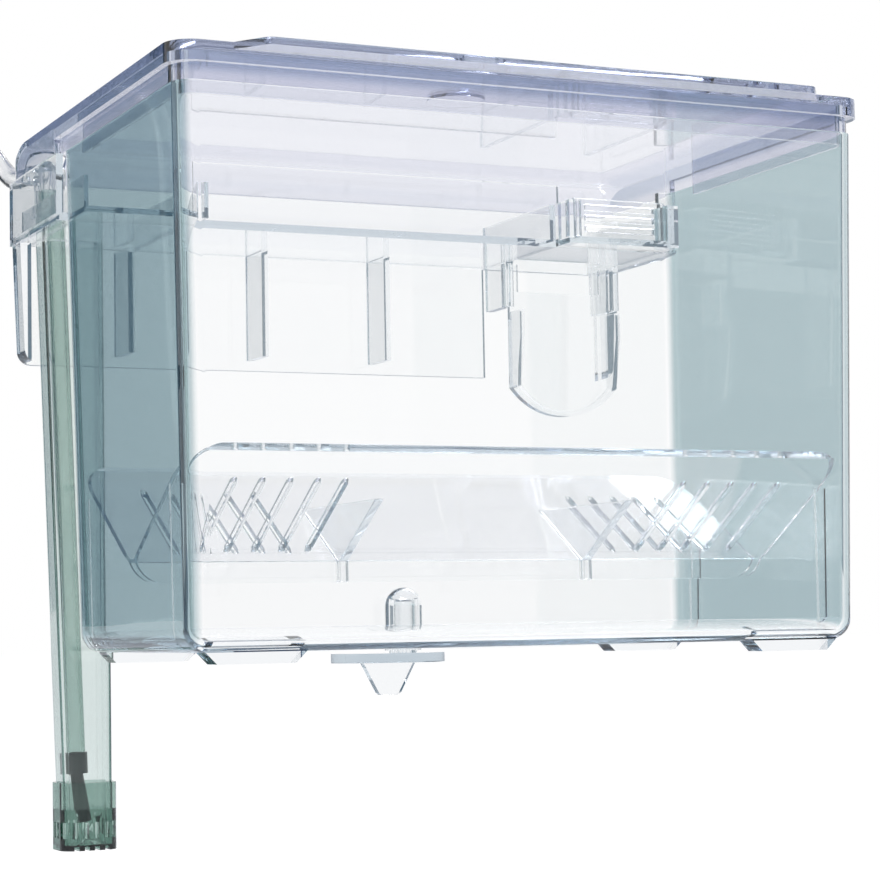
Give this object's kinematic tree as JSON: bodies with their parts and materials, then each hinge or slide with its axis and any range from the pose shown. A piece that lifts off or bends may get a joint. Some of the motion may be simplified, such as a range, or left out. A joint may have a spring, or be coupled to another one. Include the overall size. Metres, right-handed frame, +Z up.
{
  "type": "fish breeding box",
  "caption": "Clear hang-on breeding box with lid, slotted fry tray, air-driven water lift, outlet scoop, levelling cam and airline hose.",
  "frame": {"origin": "middle of the hook's gap, on the underside of the bridge that rests on the tank's rim", "axes": "+X to the box's right seen from its front, +Y towards the tank, +Z up"},
  "size_m": [0.2516, 0.191, 0.2338],
  "materials": {
    "clear_styrene": "clear moulded polystyrene",
    "blue_clear_styrene": "clear moulded polystyrene with a faint blue cast",
    "green_clear_styrene": "clear plastic with a faint grey-green cast",
    "smoke_styrene": "smoked green-grey clear plastic",
    "dark_plastic": "satin",
    "clear_vinyl": "soft clear tube",
    "valve_white": "clear moulded plastic",
    "valve_rubber": "soft rubber",
    "valve_blue": "tinted moulded plastic"
  },
  "bodies": {
    "box": {"box_shell": "clear_styrene", "hanger_saddle": "clear_styrene", "intake_trough": "clear_styrene", "air_pipe": "green_clear_styrene", "air_jet": "dark_plastic", "air_elbow": "clear_styrene", "airline_hose": "clear_vinyl", "airline_coil": "clear_vinyl", "hose_tie": "dark_plastic", "valve_outlet_half": "valve_white", "valve_flap": "valve_rubber", "valve_inlet_half": "valve_blue"},
    "lid": {"lid": "blue_clear_styrene"},
    "fry_tray": {"tray_front_panel": "clear_styrene", "tray_rear_panel": "clear_styrene", "tray_gusset_left": "clear_styrene", "tray_gusset_right": "clear_styrene"},
    "uptake": {"uptake_duct": "green_clear_styrene"},
    "strainer": {"strainer_cup": "smoke_styrene"},
    "scoop": {"outlet_scoop": "clear_styrene"},
    "guard": {"outlet_guard": "clear_styrene"},
    "leveller": {"leveller_cam": "blue_clear_styrene"}
  },
  "joints": [
    {"name": "lid_lift", "type": "slide", "parent": "box", "child": "lid", "axis": [0, 0, 1], "range_m": [0, 0.06]},
    {"name": "tray_lift", "type": "slide", "parent": "box", "child": "fry_tray", "axis": [0, 0, 1], "range_m": [0, 0.055]},
    {"name": "uptake_pull", "type": "slide", "parent": "box", "child": "uptake", "axis": [0, 0, -1], "range_m": [0, 0.025]},
    {"name": "strainer_pull", "type": "slide", "parent": "uptake", "child": "strainer", "axis": [0, 0, -1], "range_m": [0, 0.012]},
    {"name": "scoop_slide", "type": "slide", "parent": "box", "child": "scoop", "axis": [0, 0, -1], "range_m": [0, 0.014]},
    {"name": "guard_lift", "type": "slide", "parent": "box", "child": "guard", "axis": [0, 0, 1], "range_m": [0, 0.011]},
    {"name": "leveller_turn", "type": "hinge", "parent": "box", "child": "leveller", "pos_m": [0, -0.02418, -0.119], "axis": [0, 0, 1], "continuous": true}
  ]
}
